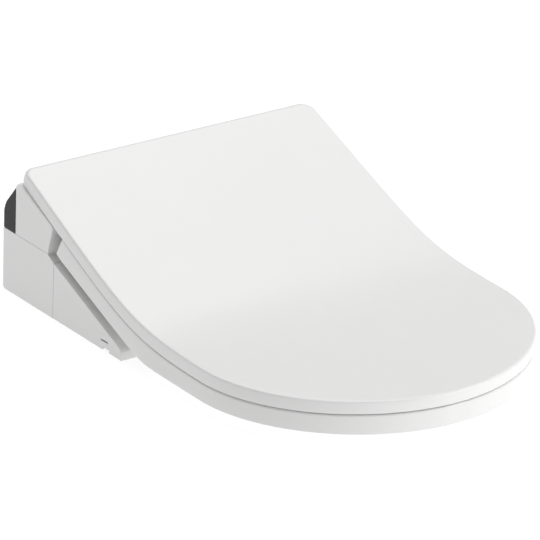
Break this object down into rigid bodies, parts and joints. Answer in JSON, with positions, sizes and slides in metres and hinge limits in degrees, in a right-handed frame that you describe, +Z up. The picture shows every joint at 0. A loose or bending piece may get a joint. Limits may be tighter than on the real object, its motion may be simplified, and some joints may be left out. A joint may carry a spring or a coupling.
{
  "type": "electric bidet seat",
  "caption": "Slim D-shaped electric bidet seat: sloping lid over a heated seat ring, on a low rear unit with side wings and a dark rear panel, with washing wand and dryer.",
  "frame": {"origin": "on the line of the two fixing bolts, midway between them, at the underside of the mounting plate", "axes": "+Z up, front towards -Y, +X to the right when standing in front"},
  "size_m": [0.383, 0.5484, 0.1435],
  "materials": {
    "white_shell": "satin gloss moulded",
    "white_inner": "moulded",
    "dark_panel": "high gloss",
    "grey_plastic": "fine textured",
    "dark_plastic": "matt",
    "rubber_pad": "matt",
    "steel": "turned",
    "alloy": "cast",
    "brass_fitting": "turned",
    "board": "coated",
    "heat_mat": "foil"
  },
  "bodies": {
    "base": {"top_case": "white_shell", "base_case": "white_shell", "rear_panel": "dark_panel", "wing_cover_left": "white_shell", "wing_cover_right": "white_shell", "mounting_plate": "grey_plastic", "nozzle_housing": "white_inner", "wand_motor": "alloy", "dryer_housing": "grey_plastic", "dryer_motor": "alloy", "water_heater": "alloy", "inlet_nipple": "brass_fitting", "inlet_valve": "grey_plastic", "diverter_valve": "grey_plastic", "tube_valve_to_heater": "grey_plastic", "tube_heater_to_diverter": "grey_plastic", "power_module": "dark_plastic", "main_board": "board", "cord_gland": "dark_plastic", "remote_receiver": "board", "hinge_pin_left": "steel", "hinge_pin_right": "steel", "lid_damper": "dark_plastic", "seat_damper": "dark_plastic", "case_screw_1": "steel", "case_screw_2": "steel", "case_screw_3": "steel", "case_screw_4": "steel"},
    "seat": {"seat_upper": "white_shell", "seat_lower": "white_shell", "seat_heater": "heat_mat", "seat_bumper_front_left": "rubber_pad", "seat_bumper_front_right": "rubber_pad", "seat_bumper_rear_left": "rubber_pad", "seat_bumper_rear_right": "rubber_pad"},
    "lid": {"lid_shell": "white_shell", "lid_liner": "white_shell", "lid_buffer_left": "rubber_pad", "lid_buffer_right": "rubber_pad"},
    "wand": {"wand": "grey_plastic", "wand_tip": "steel", "nozzle_shutter": "white_inner"},
    "pinion": {"wand_pinion": "grey_plastic"},
    "fan": {"dryer_impeller": "dark_plastic"},
    "flap": {"dryer_flap": "white_inner"},
    "button": {"release_button": "white_shell"},
    "plug": {"drain_plug": "grey_plastic"}
  },
  "joints": [
    {"name": "seat_hinge", "type": "hinge", "parent": "base", "child": "seat", "pos_m": [0, 0.04343, 0.13556], "axis": [1, 0, 0], "range_deg": [-95, 0]},
    {"name": "lid_hinge", "type": "hinge", "parent": "seat", "child": "lid", "pos_m": [0, 0.04343, 0.13556], "axis": [-1, 0, 0], "range_deg": [0, 98]},
    {"name": "wand_slide", "type": "slide", "parent": "base", "child": "wand", "axis": [0, -0.866, -0.5], "range_m": [0, 0.075]},
    {"name": "pinion_spin", "type": "hinge", "parent": "base", "child": "pinion", "pos_m": [0, -0.0041, 0.05439], "axis": [1, 0, 0], "range_deg": [-717, 0]},
    {"name": "fan_spin", "type": "hinge", "parent": "base", "child": "fan", "pos_m": [0.082, 0.028, 0.042], "axis": [1, 0, 0], "continuous": true},
    {"name": "dryer_flap_hinge", "type": "hinge", "parent": "base", "child": "flap", "pos_m": [0.082, -0.0265, 0.0305], "axis": [-1, 0, 0], "range_deg": [0, 60]},
    {"name": "release_press", "type": "slide", "parent": "base", "child": "button", "axis": [-1, 0, 0], "range_m": [0, 0.003], "stiffness_N_per_m": 400},
    {"name": "drain_turn", "type": "hinge", "parent": "base", "child": "plug", "pos_m": [0.186, 0.048, 0.03], "axis": [1, 0, 0], "range_deg": [0, 90]}
  ],
  "couplings": [
    {"joint": "pinion_spin", "follows": "wand_slide", "rad_per_m": -166.67}
  ]
}
